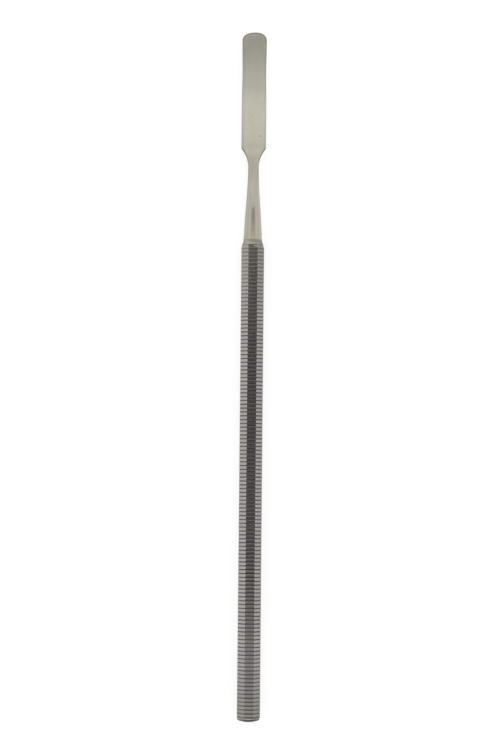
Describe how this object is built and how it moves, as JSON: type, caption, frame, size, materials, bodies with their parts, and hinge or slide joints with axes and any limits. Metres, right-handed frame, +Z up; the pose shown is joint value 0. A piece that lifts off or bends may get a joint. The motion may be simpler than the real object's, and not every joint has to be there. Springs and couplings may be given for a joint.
{
  "type": "dental elevator",
  "caption": "One-ended hand instrument with a long flat round-tipped blade, a slim round neck and a ringed octagonal hollow handle, in stainless steel.",
  "frame": {"origin": "on the surface the instrument lies on, centred under its box: z = 0 is under the handle's bottom flat, x = 0 and y = 0 halfway across and along", "axes": "+Y along the instrument towards the blade's tip, +X across the blade, +Z up, away from the flat it rests on"},
  "size_m": [0.0066, 0.1816, 0.006],
  "materials": {
    "handle_steel": "satin stainless steel, darker in the ring grooves, rubbed bright on the lands",
    "blade_steel": "fine lengthwise satin polish with a faint warm cast, faintly stained by heat beside the joint",
    "plug_steel": "turned satin stainless steel",
    "silver_braze": "dull silver braze, dressed flush"
  },
  "bodies": {
    "root": {"handle_tube": "handle_steel", "working_end": "blade_steel", "end_plug": "plug_steel", "nose_braze_ring": "silver_braze", "tail_braze_ring": "silver_braze"}
  },
  "joints": []
}
